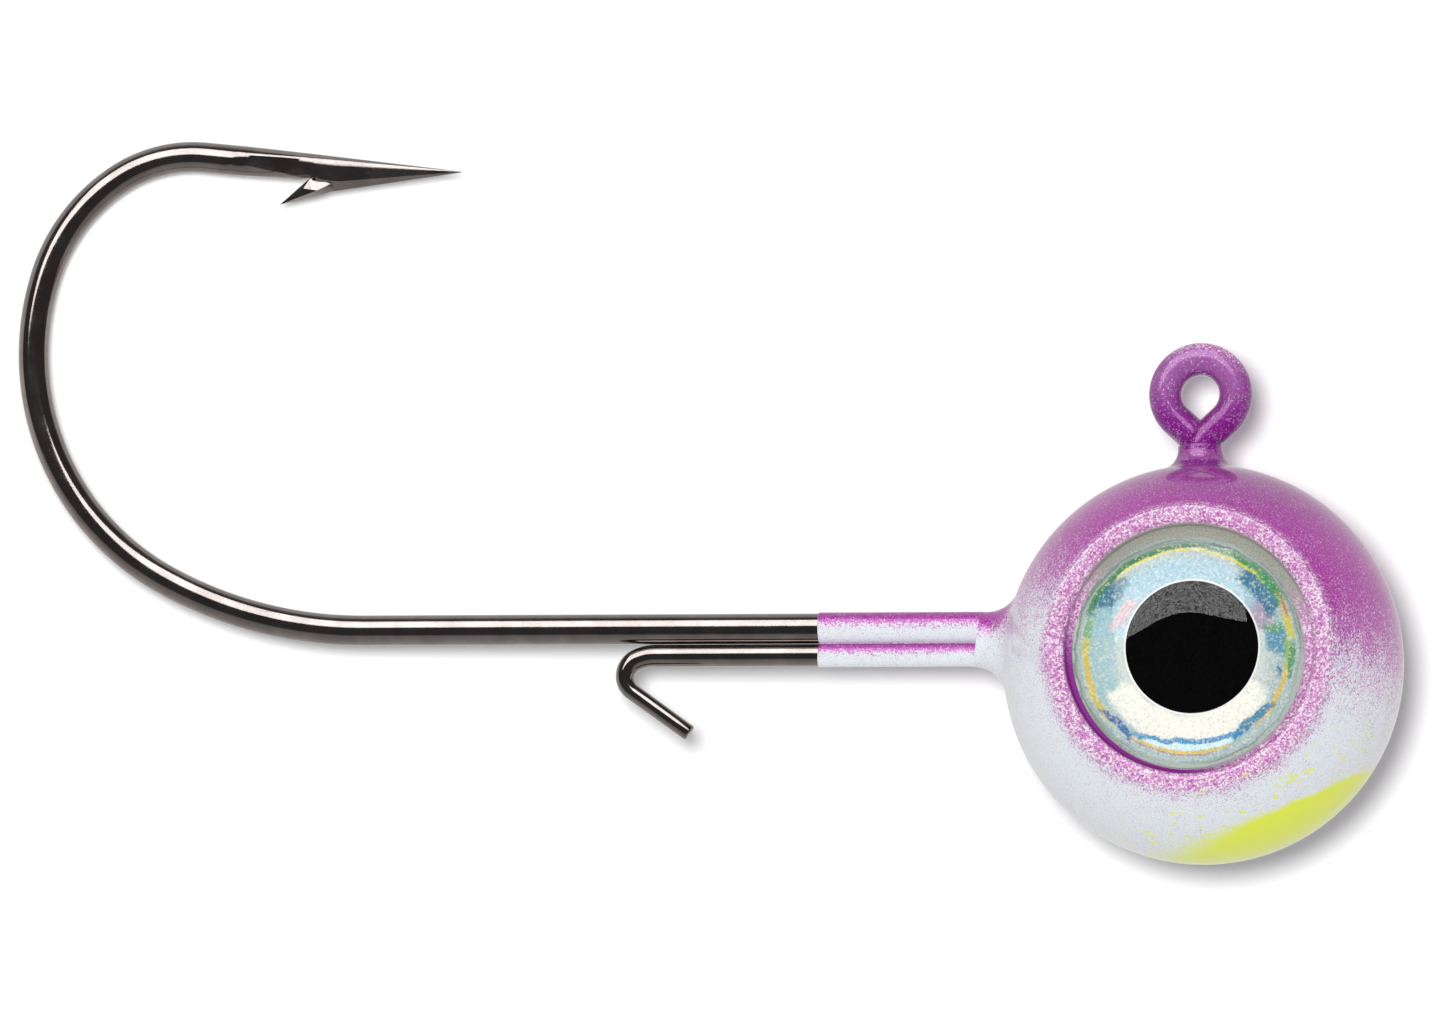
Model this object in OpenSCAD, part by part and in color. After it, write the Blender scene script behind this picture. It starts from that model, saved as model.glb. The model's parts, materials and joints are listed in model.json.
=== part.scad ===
// Ball-head fishing jig: a forged hook and a bait-keeper wire cast into a round
// lead head, painted, with a domed foil eye let into each cheek.
//
// Origin: centre of the line eye. +X: towards the nose of the head. +Z: up, out of
// the line eye. The hook, the keeper and the line eye all lie in the plane y = 0.

/* [Hook] */
// Diameter of the hook wire
wire_d = 0.85; // [0.75:0.05:0.95]
// Depth of the shank's centreline below the line eye
shank_drop = 6.55; // [6.2:0.01:6.9]
// Distance from the line eye back to the start of the bend
shank_reach = 23.53; // [20:0.01:28]
// Centreline radii of the four stretches of the bend, from the shank to the arm
bend_r = [11.6, 7.4, 5, 3.75]; // [3:0.01:13]
// Angles that the four stretches turn through
bend_a = [28.8, 78, 39.8, 39.1]; // [20:0.1:90]
// Centreline radius of the hidden corner where the shank turns up inside the head
corner_r = 1.2; // [0.8:0.1:2]

/* [Hook point] */
// Length of round wire between the bend and the forged point
arm_len = 1.2; // [0.8:0.1:1.6]
// Length from the end of the bend to the tip
point_len = 7.25; // [6:0.05:9]
// Height of the tip above the arm's centreline
tip_rise = 0.29; // [0:0.01:0.4]
// Distance from the end of the bend to the deepest part of the blade
belly_at = 3.65; // [3.4:0.01:4]
// Depth of the blade there, below the arm's centreline
belly_drop = 0.63; // [0.5:0.01:0.7]
// Distance from the end of the bend to the root of the barb cut
notch_at = 3.1; // [2.9:0.01:3.3]
// Depth of the root of the barb cut below the arm's centreline
notch_drop = 0.23; // [0.15:0.01:0.3]
// Distance from the end of the bend to the tip of the barb
barb_at = 2.26; // [2:0.01:2.6]
// Depth of the barb's tip below the arm's centreline
barb_drop = 1.12; // [0.9:0.01:1.3]
// Thickness of the forged blade
blade_t = 0.7; // [0.5:0.05:0.75]

/* [Line eye] */
// Centreline radius of the ring
ring_r = 0.985; // [0.98:0.005:0.99]
// Angle from the vertical at which the two strands close below the ring
strand_lean = 47; // [44:1:50]
// Centreline radius where the riser leans over into the ring
riser_bend_r = 0.6; // [0.5:0.05:0.8]
// Radius of the clear throat for a line, snap or split ring
throat_r = 0.535; // [0.53:0.005:0.54]

/* [Keeper wire] */
// Diameter of the keeper wire
keeper_d = 0.62; // [0.5:0.02:0.7]
// Distance from the line eye back to the start of the keeper's bend
keeper_reach = 15.3; // [13:0.1:18]
// Centreline radius of the easy part of the keeper's bend
keeper_bend_r = 1.26; // [1:0.02:1.6]
// Angle of the easy part of the keeper's bend
keeper_bend_a = 24.3; // [20:0.1:30]
// Centreline radius of the tight part of the keeper's bend
keeper_tight_r = 0.53; // [0.45:0.01:0.7]
// Angle of the tight part of the keeper's bend
keeper_tight_a = 119.9; // [110:0.1:125]
// Diameter that the wire is drawn down to in the tight part of the bend
keeper_drawn_d = 0.54; // [0.5:0.01:0.56]
// Length of the straight barb leg
keeper_leg = 2; // [1:0.05:3]
// Diameter of the wire at the tip of the barb leg
keeper_tip_d = 0.45; // [0.4:0.01:0.5]
// Centreline radius of the hidden bend that turns the keeper down inside the lead
keeper_tail_r = 0.95; // [0.8:0.05:1.1]
// Angle of that bend
keeper_tail_a = 75; // [60:1:80]
// Length of the tail that anchors the keeper inside the lead
keeper_tail = 1.6; // [1:0.1:2]

/* [Head] */
// Diameter of the painted ball
ball_d = 11.2; // [10.8:0.1:11.6]
// Distance of the ball's centre towards the nose
ball_x = 0.15; // [0:0.05:0.3]
// Depth of the ball's centre below the line eye
ball_drop = 7.6; // [7.5:0.05:7.8]
// Distance from the middle plane to the painted flat around each eye
cheek_y = 3.92; // [3.8:0.02:4]
// Radius of the painted recess that holds each eye
recess_r = 3.47; // [3.4:0.01:3.6]
// Depth of the recess below the flat
recess_depth = 0.35; // [0.3:0.05:0.45]
// Radius of the painted nub around the foot of the line eye
nub_r = 0.62; // [0.6:0.01:0.7]
// Distance from the line eye down to the top of the nub
nub_top = 1.42; // [1.4:0.01:1.5]
// Radius of the fillet between the nub and the ball
nub_fillet = 0.6; // [0.4:0.05:0.8]
// Radius of the painted neck where the wires leave the ball
neck_r = 0.78; // [0.78:0.01:0.9]
// Radius of the fillet between the neck and the ball
neck_fillet = 1; // [0.8:0.05:1.3]
// Angle that the neck's axis is raised from the ball's centre
neck_rise = 6.6; // [5:0.1:7]

/* [Paint] */
// Thickness of the paint on the lead
coat_t = 0.08; // [0.06:0.01:0.1]
// Thickness of the paint on the two wires of the collar
wire_coat_t = 0.03; // [0.025:0.005:0.04]
// Thickness of the paint on the line eye
ring_coat_t = 0.04; // [0.036:0.002:0.05]
// Distance from the line eye back to the rear edge of the painted collar
collar_reach = 10.69; // [9:0.01:12]

/* [Eyes] */
// Radius of the eye sticker
eye_r = 3.25; // [3:0.05:3.3]
// Distance each eye sticker sits below the middle of its recess
eye_drop = 0.14; // [0:0.01:0.15]
// Thickness of the adhesive pad
adhesive_t = 0.1; // [0.05:0.01:0.15]
// Thickness of the foil
foil_t = 0.1; // [0.05:0.01:0.15]
// Radius of the printed pupil
pupil_r = 1.78; // [1.5:0.01:2.2]
// Distance the pupil is printed off the eye's centre, towards the nose
pupil_shift = 0.11; // [0:0.01:0.3]
// Distance the pupil is printed off the eye's centre, upwards
pupil_rise = 0.14; // [0:0.01:0.3]
// Thickness of the printed pupil
pupil_t = 0.05; // [0.03:0.01:0.08]
// Thickness of the clear dome at its rim
dome_rim = 0.3; // [0.2:0.05:0.5]
// Rise of the dome's crown above its rim
dome_rise = 0.8; // [0.6:0.05:1.2]
// Radius of the flat in the middle of the dome's crown
dome_flat_r = 0.6; // [0.4:0.05:1]

/* [Hidden] */

$fn = 96;
CUT = 0.5;          // how far a cutting solid runs past what it cuts
FAR = 20;           // size of a block that trims everything beyond a plane
RIGHT = -1;         // side of the head that faces -Y
LEFT = 1;           // side of the head that faces +Y
SINK = 0.01;        // depth a fillet sinks into the ball, so that the two surfaces cross
HAIR = 0.01;        // gap between two stretches of a wire, closed by a band
BAND = 0.002;       // how far that band stands proud of the wire
WIRE_GAP = 0.01;    // hairline between the shank and the keeper wire
SEAM_W = 0.2;       // width of the void along that hairline, which nothing fills

wire_r = wire_d / 2;
keeper_r = keeper_d / 2;
ball_r = ball_d / 2;
keeper_drop = shank_drop + wire_r + WIRE_GAP + keeper_r; // the keeper lies along the shank
keeper_start = corner_r + keeper_tail_r;        // where it turns down inside the lead
blade_top = wire_r * 0.9;                       // the forging starts just inside the wire
blade_tip_w = 0.06;                             // width left at the very tip
shoulder_at = notch_at - 0.06;                  // the ridge turns down just above the barb cut
recess_floor = cheek_y - recess_depth;
foil_y = recess_floor + adhesive_t;
dome_y = foil_y + foil_t;
neck_reach = sqrt(pow(ball_r + neck_fillet, 2) - pow(neck_r + neck_fillet, 2));
strand_len = ring_r / tan(strand_lean);         // from the ring down to where the strands meet
strand_meet = ring_r / sin(strand_lean);        // depth of that point below the line eye
lean_take = riser_bend_r * tan(strand_lean / 2); // length the riser's bend takes off each leg

// ---- Wire work: each piece draws itself in the XY plane along +X, and its
// ---- children carry on from its far end. Positive bends turn left.

module run(r, len, gap = 0) {
    rotate([0, 90, 0]) cylinder(r = r, h = len);
    translate([len, 0, 0]) {
        if (gap > 0) joint_band(r);
        children();
    }
}

module bend(r, radius, angle, gap = 0) {
    turn = abs(angle);
    side = angle < 0 ? 1 : 0;
    short = gap / radius * 180 / PI;
    mirror([0, side, 0]) {
        translate([0, radius, 0])
            rotate([0, 0, short - 90])
                rotate_extrude(angle = turn - 2 * short)
                    translate([radius, 0]) circle(r = r);
        translate([radius * sin(turn), radius * (1 - cos(turn)), 0])
            rotate([0, 0, turn])
                mirror([0, side, 0]) {
                    if (gap > 0) joint_band(r);
                    children();
                }
    }
}

// A long-radius joint has a hair's gap, which this thin band bridges
module joint_band(r) {
    rotate([0, 90, 0])
        cylinder(r = r + BAND, h = 4 * HAIR, center = true);
}

// Stands a drawing made in the XY plane up in the plane y = 0
module upright() {
    rotate([90, 0, 0]) children();
}

// ---- Hook

// Shank, four-part bend and arm, from the hidden corner to the forged point
module shank_and_bend() {
    upright()
        translate([-corner_r, -shank_drop, 0])
            mirror([1, 0, 0])
                run(wire_r, shank_reach - corner_r, HAIR)
                    bend(wire_r, bend_r[0], bend_a[0], HAIR)
                        bend(wire_r, bend_r[1], bend_a[1], HAIR)
                            bend(wire_r, bend_r[2], bend_a[2], HAIR)
                                bend(wire_r, bend_r[3], bend_a[3], HAIR) {
                                    arm();
                                    point_and_barb();
                                }
}

// The last round wire, drawn down to fit inside the forged blade
module arm() {
    run(wire_r, arm_len);
    translate([arm_len, 0, 0])
        rotate([0, 90, 0])
            cylinder(r1 = wire_r, r2 = blade_t * 0.4, h = arm_len);
}

// The forged point, drawn along +X from the end of the bend, with the barb on the +Y side
module point_and_barb() {
    intersection() {
        linear_extrude(height = wire_d, center = true)
            polygon([
                [arm_len, -blade_top],
                [shoulder_at, -blade_top],
                [point_len, -tip_rise],
                [belly_at, belly_drop],
                [barb_at, barb_drop],
                [notch_at, notch_drop],
                [arm_len, blade_top]
            ]);
        rotate([90, 0, 0])
            linear_extrude(height = FAR, center = true)
                polygon([
                    [arm_len - CUT, -blade_t / 2],
                    [belly_at, -blade_t / 2],
                    [point_len + SINK, -blade_tip_w / 2],
                    [point_len + SINK, blade_tip_w / 2],
                    [belly_at, blade_t / 2],
                    [arm_len - CUT, blade_t / 2]
                ]);
        blade_section();
    }
}

// Cross-section of the blade: a narrow ridge, flat cheeks and two bevels below
module blade_section() {
    ridge = blade_t * 0.12;
    keel = blade_t * 0.1;
    rotate([90, 0, 90])
        linear_extrude(height = point_len + CUT)
            polygon([
                [-blade_top - SINK, -ridge],
                [-blade_top * 0.3, -blade_t / 2],
                [belly_drop * 0.4, -blade_t / 2],
                [barb_drop + SINK, -keel],
                [barb_drop + SINK, keel],
                [belly_drop * 0.4, blade_t / 2],
                [-blade_top * 0.3, blade_t / 2],
                [-blade_top - SINK, ridge]
            ]);
}

// Riser and line eye: up from the corner, over into the ring, round it, and back
// down until the loose end closes against the riser
module riser_and_ring(r) {
    upright()
        translate([0, corner_r - shank_drop, 0])
            rotate([0, 0, 90])
                run(r, shank_drop - corner_r - strand_meet - lean_take)
                    bend(r, riser_bend_r, -strand_lean)
                        run(r, strand_len - lean_take)
                            bend(r, ring_r, 180 + 2 * strand_lean)
                                run(r, strand_len - wire_r * 0.35);
}

// The quarter turn inside the lead that joins the shank to the riser
module hidden_corner() {
    upright()
        translate([-corner_r, -shank_drop, 0])
            bend(wire_r, corner_r, 90);
}

module hook_wire() {
    shank_and_bend();
    hidden_corner();
    riser_and_ring(wire_r);
}

module jig_hook() {
    color("dimgray") hook_wire();
}

// ---- Keeper wire

module keeper_form() {
    upright()
        translate([-keeper_start, -keeper_drop, 0]) {
            mirror([1, 0, 0])
                run(keeper_r, keeper_reach - keeper_start)
                    bend(keeper_r, keeper_bend_r, -keeper_bend_a)
                        bend(keeper_drawn_d / 2, keeper_tight_r, -keeper_tight_a)
                            rotate([0, 90, 0])
                                cylinder(d1 = keeper_drawn_d, d2 = keeper_tip_d, h = keeper_leg);
            bend(keeper_r, keeper_tail_r, -keeper_tail_a)
                run(keeper_r, keeper_tail);
        }
}

module keeper_wire() {
    color("dimgray") keeper_form();
}

// Everything that the head is cast around: both wires and the void between them
module cast_in() {
    hook_wire();
    keeper_form();
    translate([-collar_reach, -SEAM_W / 2, -keeper_drop])
        cube([collar_reach - keeper_start + SEAM_W, SEAM_W, keeper_drop - shank_drop]);
}

// ---- Head

// Turns a drawing whose axis is +Z to lie along a ray from the ball's centre,
// leaning back from the vertical by the given angle
module from_ball(lean) {
    translate([ball_x, 0, -ball_drop])
        rotate([0, -lean, 0])
            children();
}

// A round stem that flares into the ball through a fillet. reach is where the
// stem's straight part starts, top is where the stem ends.
module flare(r, fillet, ball, top) {
    middle = r + fillet;
    reach = sqrt(pow(ball + fillet - SINK, 2) - pow(middle, 2));
    foot = middle * ball / (ball + fillet);
    rotate_extrude()
        difference() {
            square([foot, reach]);
            translate([middle, reach]) circle(r = fillet);
        }
    cylinder(r = r, h = max(top, reach));
}

nub_lean = atan(ball_x / (ball_drop - nub_top));
nub_reach = (ball_drop - nub_top) / cos(nub_lean);
neck_lean = 90 - neck_rise;

// The whole head with skin millimetres of paint over the lead
module head_form(skin) {
    less = coat_t - skin;
    difference() {
        union() {
            translate([ball_x, 0, -ball_drop])
                intersection() {
                    sphere(r = ball_r - less);
                    cube([ball_d, 2 * (cheek_y - less), ball_d], center = true);
                }
            from_ball(nub_lean)
                flare(nub_r - less, nub_fillet + less, ball_r - less, nub_reach - less);
            from_ball(neck_lean)
                flare(neck_r - less, neck_fillet + less, ball_r - less, 0);
        }
        for (side = [RIGHT, LEFT])
            on_cheek(side, recess_floor - less)
                cylinder(r = recess_r + less, h = recess_depth + CUT);
    }
}

// Places a drawing on one cheek, with its +Z pointing out of the head
module on_cheek(side, y, right = 0, up = 0) {
    translate([ball_x + right, side * y, up - ball_drop])
        rotate([-90 * side, 0, 0])
            children();
}

module lead_head() {
    color("slategray")
        difference() {
            head_form(0);
            cast_in();
        }
}

// ---- Paint

module head_coat() {
    color("orchid")
        difference() {
            head_form(coat_t);
            head_form(0);
            cast_in();
        }
}

// Outline of the shank and the keeper side by side, grown by the paint's thickness
module two_wires(grow) {
    translate([0, -shank_drop]) circle(r = wire_r + grow);
    translate([0, -keeper_drop]) circle(r = keeper_r + grow);
    seam = SEAM_W + 2 * grow;
    translate([-seam / 2, -keeper_drop]) square([seam, keeper_drop - shank_drop]);
}

module collar_coat() {
    color("orchid")
        difference() {
            translate([-collar_reach, 0, 0])
                rotate([90, 0, 90])
                    linear_extrude(height = collar_reach)
                        difference() {
                            two_wires(wire_coat_t);
                            two_wires(0);
                        }
            from_ball(neck_lean)
                translate([-FAR / 2, -FAR / 2, neck_reach - FAR])
                    cube(FAR);
        }
}

module line_eye_coat() {
    color("mediumorchid")
        difference() {
            riser_and_ring(wire_r + ring_coat_t);
            riser_and_ring(wire_r);
            rotate([90, 0, 0])
                cylinder(r = throat_r, h = FAR, center = true);
            from_ball(nub_lean)
                translate([-FAR / 2, -FAR / 2, nub_reach - FAR])
                    cube(FAR);
        }
}

// ---- Eyes

module eye_adhesive(side) {
    color("gainsboro")
        on_cheek(side, recess_floor, 0, -eye_drop)
            cylinder(r = eye_r, h = adhesive_t);
}

module eye_foil(side) {
    color("paleturquoise")
        on_cheek(side, foil_y, 0, -eye_drop)
            cylinder(r = eye_r, h = foil_t);
}

module eye_pupil(side) {
    color("black")
        on_cheek(side, dome_y, pupil_shift, pupil_rise - eye_drop)
            cylinder(r = pupil_r, h = pupil_t);
}

// A clear cap, cast over the pupil: a short upright rim, a crown that curves in from
// it, and a small flat where the resin levelled out
module eye_dome(side) {
    top = dome_rim + dome_rise;
    slope_w = eye_r - dome_flat_r;
    crown_r = (slope_w * slope_w + dome_rise * dome_rise) / (2 * dome_rise);
    color("azure", 0.4)
        difference() {
            on_cheek(side, dome_y, 0, -eye_drop)
                rotate_extrude()
                    intersection() {
                        square([eye_r, top]);
                        union() {
                            square([dome_flat_r, top]);
                            translate([dome_flat_r, top - crown_r]) circle(r = crown_r);
                        }
                    }
            on_cheek(side, dome_y - CUT, pupil_shift, pupil_rise - eye_drop)
                cylinder(r = pupil_r, h = CUT + pupil_t);
        }
}

module right_eye_adhesive() eye_adhesive(RIGHT);
module right_eye_foil() eye_foil(RIGHT);
module right_eye_pupil() eye_pupil(RIGHT);
module right_eye_dome() eye_dome(RIGHT);
module left_eye_adhesive() eye_adhesive(LEFT);
module left_eye_foil() eye_foil(LEFT);
module left_eye_pupil() eye_pupil(LEFT);
module left_eye_dome() eye_dome(LEFT);

jig_hook();
keeper_wire();
lead_head();
head_coat();
collar_coat();
line_eye_coat();
right_eye_adhesive();
right_eye_foil();
right_eye_pupil();
right_eye_dome();
left_eye_adhesive();
left_eye_foil();
left_eye_pupil();
left_eye_dome();
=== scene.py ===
"""A painted ball-head fishing jig with a domed foil eye on each cheek.

Lengths are in millimetres until make_piece() turns a mesh into metres. Every outline
lies in the frame of the CAD model: +X to the nose, +Z up, the wires in the plane y = 0.
"""
import json
import math
import bmesh
import bpy
import numpy as np
from mathutils import Matrix, Vector


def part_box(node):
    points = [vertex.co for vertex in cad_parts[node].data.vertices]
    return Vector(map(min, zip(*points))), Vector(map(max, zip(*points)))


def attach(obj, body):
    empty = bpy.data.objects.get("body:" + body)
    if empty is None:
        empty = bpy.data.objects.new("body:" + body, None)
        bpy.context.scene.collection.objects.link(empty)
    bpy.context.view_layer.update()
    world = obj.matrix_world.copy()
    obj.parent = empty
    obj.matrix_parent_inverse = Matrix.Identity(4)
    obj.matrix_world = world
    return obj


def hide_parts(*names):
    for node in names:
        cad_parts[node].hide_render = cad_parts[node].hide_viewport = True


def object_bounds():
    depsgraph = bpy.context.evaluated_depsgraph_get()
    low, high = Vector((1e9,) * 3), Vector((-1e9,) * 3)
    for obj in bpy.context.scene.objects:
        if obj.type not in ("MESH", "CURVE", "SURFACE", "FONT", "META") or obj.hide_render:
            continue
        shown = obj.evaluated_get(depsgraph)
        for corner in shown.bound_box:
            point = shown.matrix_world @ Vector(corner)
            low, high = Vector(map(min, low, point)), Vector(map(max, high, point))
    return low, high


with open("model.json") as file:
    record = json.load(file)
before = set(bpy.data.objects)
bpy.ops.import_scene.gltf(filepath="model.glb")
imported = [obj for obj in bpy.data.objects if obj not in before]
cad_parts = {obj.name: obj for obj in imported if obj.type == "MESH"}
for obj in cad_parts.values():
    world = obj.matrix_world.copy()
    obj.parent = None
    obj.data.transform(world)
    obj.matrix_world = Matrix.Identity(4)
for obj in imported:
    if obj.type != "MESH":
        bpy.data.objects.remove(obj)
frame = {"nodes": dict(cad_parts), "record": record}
CAD_LOW, CAD_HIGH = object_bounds()

MM = 0.001
SIDES = {"right": -1, "left": 1}


def size_of(node):
    """Lowest corner, highest corner and middle of a CAD node, in millimetres."""
    low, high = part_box(node)
    return low / MM, high / MM, (low + high) / 2 / MM


def mount_of(name):
    """One of the record's mounts."""
    return next(m for m in frame["record"]["mounts"] if m["name"] == name)


# ---- Driving dimensions

HEAD_LOW, HEAD_HIGH, _ = size_of("head_coat")
DOME_LOW, DOME_HIGH, DOME_MIDDLE = size_of("right_eye_dome")
PUPIL_LOW, PUPIL_HIGH, PUPIL_MIDDLE = size_of("right_eye_pupil")
KEEPER_LOW, KEEPER_HIGH, _ = size_of("keeper_wire")
COLLAR_LOW, COLLAR_HIGH, _ = size_of("collar_coat")

BALL_X = DOME_MIDDLE.x
BALL_R = HEAD_HIGH.x - BALL_X
BALL_Z = HEAD_LOW.z + BALL_R
BALL_MIDDLE = Vector((BALL_X, 0, BALL_Z))
CHEEK = HEAD_HIGH.y  # from the middle plane to the flat round the eye
RECESS_R = 3.47
RECESS_DEPTH = 0.35
COAT = 0.08  # paint on the lead
WIRE_COAT = 0.03  # paint on the wires
RING_COAT = 0.04  # paint on the line eye

BAIT_SHANK = mount_of("bait_shank")
WIRE_R = BAIT_SHANK["dims"]["r_mm"]
SHANK_Z = BAIT_SHANK["pos_m"][2] / MM
SHANK_X = BAIT_SHANK["pos_m"][0] / MM - BAIT_SHANK["dims"]["length_mm"] / 2
CORNER_R = 1.2
BENDS = [(11.6, 28.8), (7.4, 78), (5, 39.8), (3.75, 39.1)]  # radius and angle of each

WIRE_GAP = 0.01  # hairline between the shank and the keeper
SEAM_HALF = 0.1  # half the width of the space that the paint leaves there
KEEPER_R = (KEEPER_HIGH.y - KEEPER_LOW.y) / 2
KEEPER_Z = SHANK_Z - WIRE_R - WIRE_GAP - KEEPER_R
KEEPER_X = -15.3
KEEPER_TURNS = [(1.26, 24.3, 0.3), (0.53, 119.9, 0.235)]  # radius, angle, wire's radius after
KEEPER_TIP_R = 0.225
KEEPER_LEG = 2.0
KEEPER_TAIL = 1.6
KEEPER_TAIL_TURN = (0.95, 75)  # radius and angle of the bend inside the lead

RING_R = 0.985
THROAT_R = mount_of("line_eye")["dims"]["r_mm"]
STRAND_LEAN = 47
RISER_BEND_R = 0.6

NUB_R = 0.62
NUB_TOP = 1.42
NUB_FILLET = 0.6
NUB_LEAN = math.degrees(math.atan(BALL_X / (-BALL_Z - NUB_TOP)))
NUB_REACH = (-BALL_Z - NUB_TOP) / math.cos(math.radians(NUB_LEAN))
NUB_DIRECTION = Vector((-math.sin(math.radians(NUB_LEAN)), 0, math.cos(math.radians(NUB_LEAN))))
NECK_R = 0.78
NECK_FILLET = 1.0
NECK_RISE = 6.6
NECK_DIRECTION = Vector((-math.cos(math.radians(NECK_RISE)), 0, math.sin(math.radians(NECK_RISE))))

EYE_MIDDLE = (BALL_X, DOME_MIDDLE.z)  # the stickers sit a little low in their recesses
EYE_R = DOME_HIGH.x - BALL_X
ADHESIVE_T = 0.1
FOIL_T = 0.1
RECESS_FLOOR = CHEEK - RECESS_DEPTH
FOIL_BACK = RECESS_FLOOR + ADHESIVE_T
FOIL_FRONT = FOIL_BACK + FOIL_T
PUPIL_R = (PUPIL_HIGH.x - PUPIL_LOW.x) / 2
PUPIL_T = PUPIL_HIGH.y - PUPIL_LOW.y
DOME_RIM = 0.3
DOME_FLAT_R = 0.6  # the resin levelled out in the middle of the crown
DOME_TOP = -DOME_LOW.y


# ---- Mesh helpers

def new_object(name, data):
    """A new object in the scene."""
    made = bpy.data.objects.new(name, data)
    bpy.context.scene.collection.objects.link(made)
    return made


def make_piece(name, points, faces, material, slot, nodes, crease=35):
    """Turns points in millimetres into a shaded piece that stands for some CAD nodes."""
    mesh = bpy.data.meshes.new(name)
    mesh.from_pydata([Vector(p) * MM for p in points], [], faces)
    mesh.materials.append(material)
    tidy_normals(mesh, crease)
    piece = new_object(name, mesh)
    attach(piece, "root")
    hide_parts(*nodes)
    return piece


def tidy_normals(mesh, crease):
    """Welds a mesh, points its faces outwards and keeps edges sharper than crease degrees."""
    work = bmesh.new()
    work.from_mesh(mesh)
    bmesh.ops.remove_doubles(work, verts=work.verts, dist=1e-8)
    bmesh.ops.recalc_face_normals(work, faces=work.faces)
    work.to_mesh(mesh)
    work.free()
    mesh.shade_smooth()
    mesh.set_sharp_from_angle(angle=math.radians(crease))


def bridge(first, second):
    """Quads between two closed rings of point numbers."""
    after = [*range(1, len(first)), 0]
    return [(first[k], first[n], second[n], second[k]) for k, n in enumerate(after)]


def add_ring(points, ring):
    """Adds a ring to the points and returns their numbers."""
    start = len(points)
    points += [tuple(p) for p in ring]
    return range(start, len(points))


def loft(rings, cap_start=True, cap_end=True):
    """Points and faces of a tube through closed rings that have the same number of points."""
    points, faces = [], []
    numbers = [add_ring(points, ring) for ring in rings]
    for first, second in zip(numbers, numbers[1:]):
        faces += bridge(first, second)
    if cap_start:
        faces.append(tuple(numbers[0])[::-1])
    if cap_end:
        faces.append(tuple(numbers[-1]))
    return points, faces


def join_parts(parts):
    """Points and faces of several (points, faces) parts as one."""
    points, faces = [], []
    for more_points, more_faces in parts:
        start = len(points)
        points += more_points
        faces += [tuple(k + start for k in face) for face in more_faces]
    return points, faces


def circle(centre, radius, y, steps, start=0.0):
    """Points round the axis of an eye, which passes through centre (x, z)."""
    turns = [2 * math.pi * k / steps + start for k in range(steps)]
    return [(centre[0] + radius * math.cos(t), y, centre[1] + radius * math.sin(t)) for t in turns]


def spin(profile, steps, centre, side):
    """Turns a profile of (radius, depth) pairs, from the axis out and back to it, round
    the axis of one eye. Depth is measured from the middle plane along that eye's axis."""
    return loft([circle(centre, radius, side * depth, steps) for radius, depth in profile])


def arc(centre, radius, start, end, steps):
    """Points (a, b) of an arc in a plane, with both ends, angles in degrees."""
    angles = np.radians(np.linspace(start, end, steps + 1))
    return [(centre[0] + radius * math.cos(t), centre[1] + radius * math.sin(t)) for t in angles]


def between(x, points):
    """The height at x of a line through (x, height) points."""
    return float(np.interp(x, [p[0] for p in points], [p[1] for p in points]))


# ---- Wire work

WIRE_SIDES = 48
KEEPER_SIDES = 40


class Line:
    """A line in the plane y = 0, drawn by straight runs and turns.

    Each station holds the point and the heading there, in degrees from +X towards +Z."""

    def __init__(self, x, z, heading):
        self.stations = [(x, z, heading)]

    def run(self, length, steps=1):
        x, z, heading = self.stations[-1]
        turn = math.radians(heading)
        for k in range(1, steps + 1):
            along = length * k / steps
            self.stations.append((x + along * math.cos(turn), z + along * math.sin(turn), heading))
        return self

    def turn(self, radius, angle, step=2.5):
        """Turns left for a positive angle, right for a negative one."""
        x, z, heading = self.stations[-1]
        swing = math.copysign(radius, angle)
        start = math.radians(heading)
        cx = x - swing * math.sin(start)
        cz = z + swing * math.cos(start)
        steps = max(4, math.ceil(abs(angle) / step))
        for k in range(1, steps + 1):
            now = heading + angle * k / steps
            t = math.radians(now)
            self.stations.append((cx + swing * math.sin(t), cz - swing * math.cos(t), now))
        return self

    def backwards(self):
        """The same stations from the far end, with their headings turned round."""
        return [(x, z, heading + 180) for x, z, heading in reversed(self.stations)]


def round_ring(station, radius, count):
    """A ring of points round a station, seen along its heading."""
    x, z, heading = station
    t = math.radians(heading)
    ring = []
    for k in range(count):
        a = 2 * math.pi * k / count
        across = radius * math.cos(a)
        ring.append((x - across * math.sin(t), radius * math.sin(a), z + across * math.cos(t)))
    return ring


def rounded_end(station, radius, edge, count, ahead):
    """Rings that close a wire's end with a rounded edge; ahead is 1 at the far end."""
    x, z, heading = station
    t = math.radians(heading)
    rings = []
    for inward, outward in arc((radius - edge, -edge), edge, 0, 90, 4):
        back = ahead * outward
        place = (x + back * math.cos(t), z + back * math.sin(t), heading)
        rings.append(round_ring(place, inward, count))
    return rings if ahead > 0 else rings[::-1]


def shank_line():
    """From the corner hidden in the head, back along the shank and round the bend."""
    line = Line(-CORNER_R, SHANK_Z, 180).run(-SHANK_X - CORNER_R, 12)
    for radius, angle in BENDS:
        line.turn(radius, -angle, 1.5)
    return line


def riser_line():
    """From the same corner up the riser and round the line eye to the wire's loose end."""
    lean = math.radians(STRAND_LEAN)
    take = RISER_BEND_R * math.tan(lean / 2)
    strand = RING_R / math.tan(lean)
    line = Line(-CORNER_R, SHANK_Z, 0).turn(CORNER_R, 90, 6)
    line.run(-SHANK_Z - CORNER_R - RING_R / math.sin(lean) - take, 8)
    line.turn(RISER_BEND_R, -STRAND_LEAN, 4)
    line.run(strand - take, 3)
    line.turn(RING_R, 180 + 2 * STRAND_LEAN, 3)
    return line.run(strand - WIRE_R * 0.35, 3)


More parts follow.
